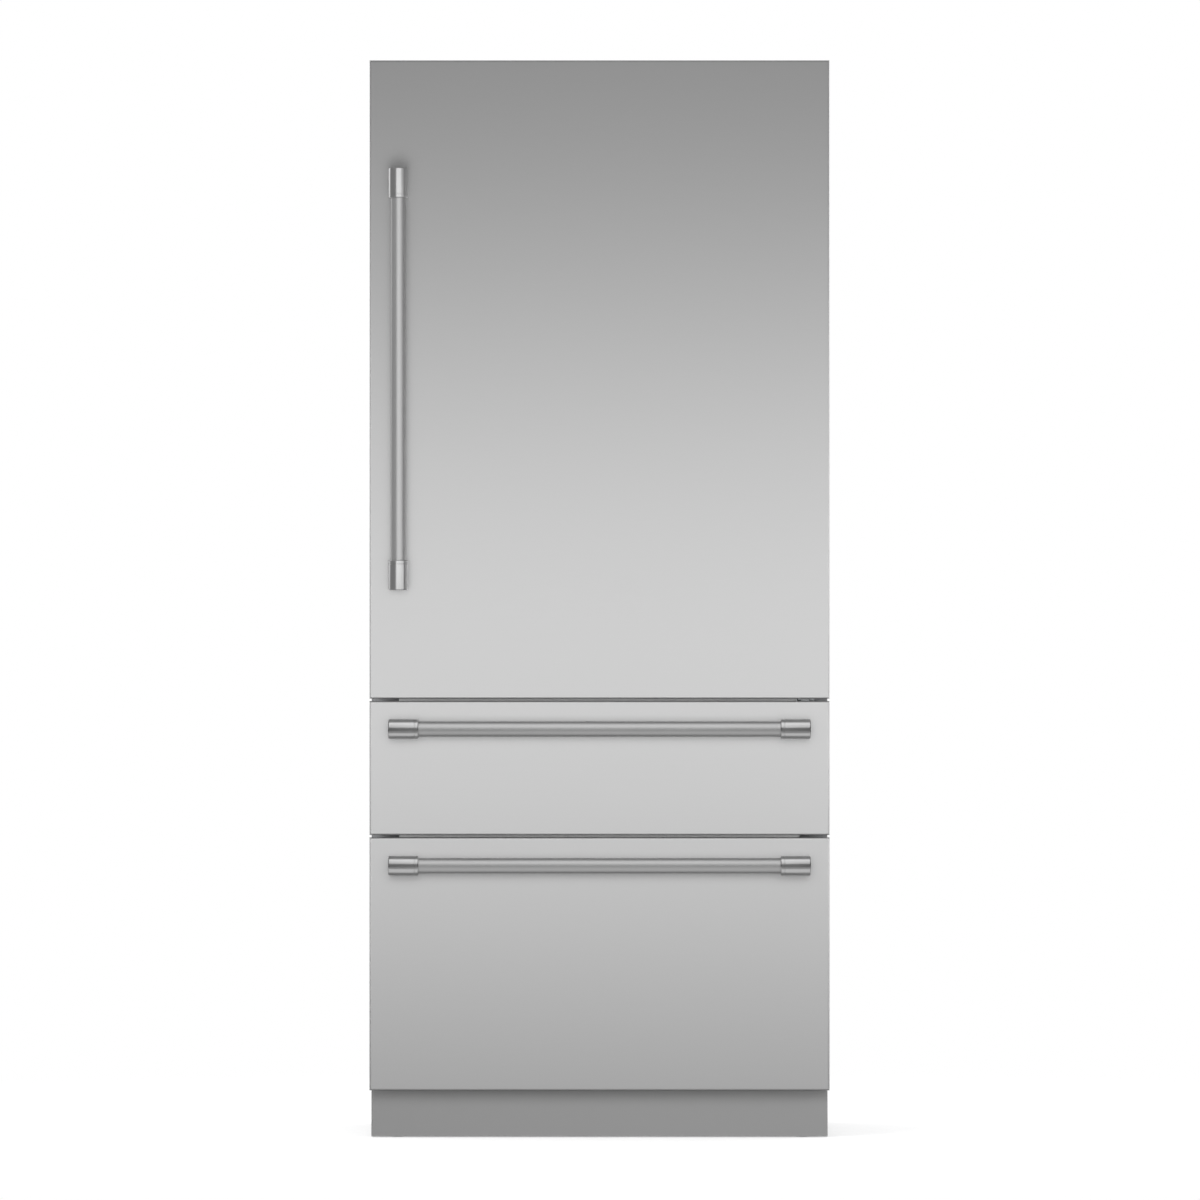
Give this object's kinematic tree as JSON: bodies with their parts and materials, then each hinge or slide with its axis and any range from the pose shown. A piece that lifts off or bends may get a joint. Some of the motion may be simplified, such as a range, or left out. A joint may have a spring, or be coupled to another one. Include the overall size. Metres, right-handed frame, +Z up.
{
  "type": "bottom freezer refrigerator",
  "caption": "Tall built-in refrigerator with one hinged door over two freezer drawers, stainless fronts, tubular bar handles and a recessed toe kick.",
  "frame": {"origin": "on the floor, below the middle of the bounding box", "axes": "+X to the right as seen from the front, +Y to the wall, +Z up; the fronts face -Y"},
  "size_m": [0.908, 0.6956, 2.127],
  "materials": {
    "stainless": "horizontally brushed stainless sheet",
    "handle_steel": "fine brushed stainless tube",
    "polished_sleeve": "polished",
    "painted_shell": "satin grey paint",
    "painted_flange": "satin",
    "galvanised_sheet": "galvanised",
    "hinge_steel": "zinc plated",
    "slide_zinc": "zinc plated",
    "painted_steel": "satin white paint",
    "black_enamel": "gloss black enamel",
    "coil_metal": "bare fins",
    "copper": "drawn copper",
    "white_liner": "moulded gloss",
    "white_plastic": "moulded satin",
    "panel_plastic": "smoked gloss",
    "clear_plastic": "clear moulded",
    "light_lens": "frosted lens",
    "black_plastic": "moulded satin",
    "foot_plastic": "moulded",
    "roller_plastic": "moulded",
    "foam": "rigid foam",
    "seal_rubber": "soft vinyl",
    "rubber": "moulded",
    "clear_glass": "clear tempered"
  },
  "bodies": {
    "cabinet": {"outer_shell": "painted_shell", "rear_panel": "galvanised_sheet", "cabinet_insulation": "foam", "fridge_liner": "white_liner", "freezer_liner": "white_liner", "front_cross_rails": "painted_flange", "base_frame": "galvanised_sheet", "front_feet": "foot_plastic", "toe_kick_panel": "stainless", "machine_cover": "galvanised_sheet", "power_inlet": "black_plastic", "compressor": "black_enamel", "rubber_mounts": "rubber", "condenser_coil": "coil_metal", "drain_pan": "black_plastic", "fan_shroud": "black_plastic", "refrigerant_pipes": "copper", "evaporator_coil": "coil_metal", "duct_covers": "white_liner", "shelf_ladders": "painted_steel", "glass_shelves": "clear_glass", "shelf_frames": "white_plastic", "control_panel": "panel_plastic", "light_bars": "light_lens", "hinge_brackets": "hinge_steel", "screws": "hinge_steel", "slide_cabinet_members": "slide_zinc"},
    "rear_rollers": {"rear_rollers": "roller_plastic"},
    "condenser_fan": {"condenser_fan": "black_plastic"},
    "evaporator_fan": {"evaporator_fan": "white_plastic"},
    "crisper_left": {"crisper_left": "clear_plastic"},
    "crisper_right": {"crisper_right": "clear_plastic"},
    "door": {"door_skin": "stainless", "door_liner": "white_liner", "door_insulation": "foam", "door_gasket": "seal_rubber", "door_handle_bar": "handle_steel", "door_handle_ends": "polished_sleeve", "door_bins": "clear_plastic", "dairy_box": "clear_plastic"},
    "dairy_flap": {"dairy_flap": "clear_plastic"},
    "upper_drawer": {"upper_drawer_skin": "stainless", "upper_drawer_back": "white_liner", "upper_drawer_insulation": "foam", "upper_drawer_gasket": "seal_rubber", "upper_handle_bar": "handle_steel", "upper_handle_ends": "polished_sleeve", "upper_drawer_bin": "white_plastic", "upper_drawer_runners": "slide_zinc"},
    "upper_slide_middles": {"upper_slide_middles": "slide_zinc"},
    "lower_drawer": {"lower_drawer_skin": "stainless", "lower_drawer_back": "white_liner", "lower_drawer_insulation": "foam", "lower_drawer_gasket": "seal_rubber", "lower_handle_bar": "handle_steel", "lower_handle_ends": "polished_sleeve", "lower_drawer_bin": "white_plastic", "lower_drawer_runners": "slide_zinc"},
    "lower_slide_middles": {"lower_slide_middles": "slide_zinc"},
    "lower_tray": {"lower_tray": "white_plastic"}
  },
  "joints": [
    {"name": "door_hinge", "type": "hinge", "parent": "cabinet", "child": "door", "pos_m": [0.429, -0.25225, 1.4975], "axis": [0, 0, 1], "range_deg": [0, 115]},
    {"name": "dairy_flap_hinge", "type": "hinge", "parent": "door", "child": "dairy_flap", "pos_m": [0, -0.14025, 1.957], "axis": [1, 0, 0], "range_deg": [0, 90]},
    {"name": "upper_drawer_slide", "type": "slide", "parent": "cabinet", "child": "upper_drawer", "axis": [0, -1, 0], "range_m": [0, 0.38]},
    {"name": "upper_middles_slide", "type": "slide", "parent": "cabinet", "child": "upper_slide_middles", "axis": [0, -1, 0], "range_m": [0, 0.19]},
    {"name": "lower_drawer_slide", "type": "slide", "parent": "cabinet", "child": "lower_drawer", "axis": [0, -1, 0], "range_m": [0, 0.38]},
    {"name": "lower_middles_slide", "type": "slide", "parent": "cabinet", "child": "lower_slide_middles", "axis": [0, -1, 0], "range_m": [0, 0.19]},
    {"name": "lower_tray_slide", "type": "slide", "parent": "lower_drawer", "child": "lower_tray", "axis": [0, 1, 0], "range_m": [0, 0.15]},
    {"name": "crisper_left_slide", "type": "slide", "parent": "cabinet", "child": "crisper_left", "axis": [0, -1, 0], "range_m": [0, 0.085]},
    {"name": "crisper_right_slide", "type": "slide", "parent": "cabinet", "child": "crisper_right", "axis": [0, -1, 0], "range_m": [0, 0.085]},
    {"name": "condenser_fan_spin", "type": "hinge", "parent": "cabinet", "child": "condenser_fan", "pos_m": [-0.11, 0.23775, 0.16], "axis": [1, 0, 0], "continuous": true},
    {"name": "evaporator_fan_spin", "type": "hinge", "parent": "cabinet", "child": "evaporator_fan", "pos_m": [0, 0.20775, 0.718], "axis": [0, 1, 0], "continuous": true},
    {"name": "rear_rollers_spin", "type": "hinge", "parent": "cabinet", "child": "rear_rollers", "pos_m": [0, 0.30275, 0.022], "axis": [1, 0, 0], "continuous": true}
  ],
  "couplings": [
    {"joint": "upper_middles_slide", "follows": "upper_drawer_slide", "ratio": 0.5},
    {"joint": "lower_middles_slide", "follows": "lower_drawer_slide", "ratio": 0.5}
  ]
}
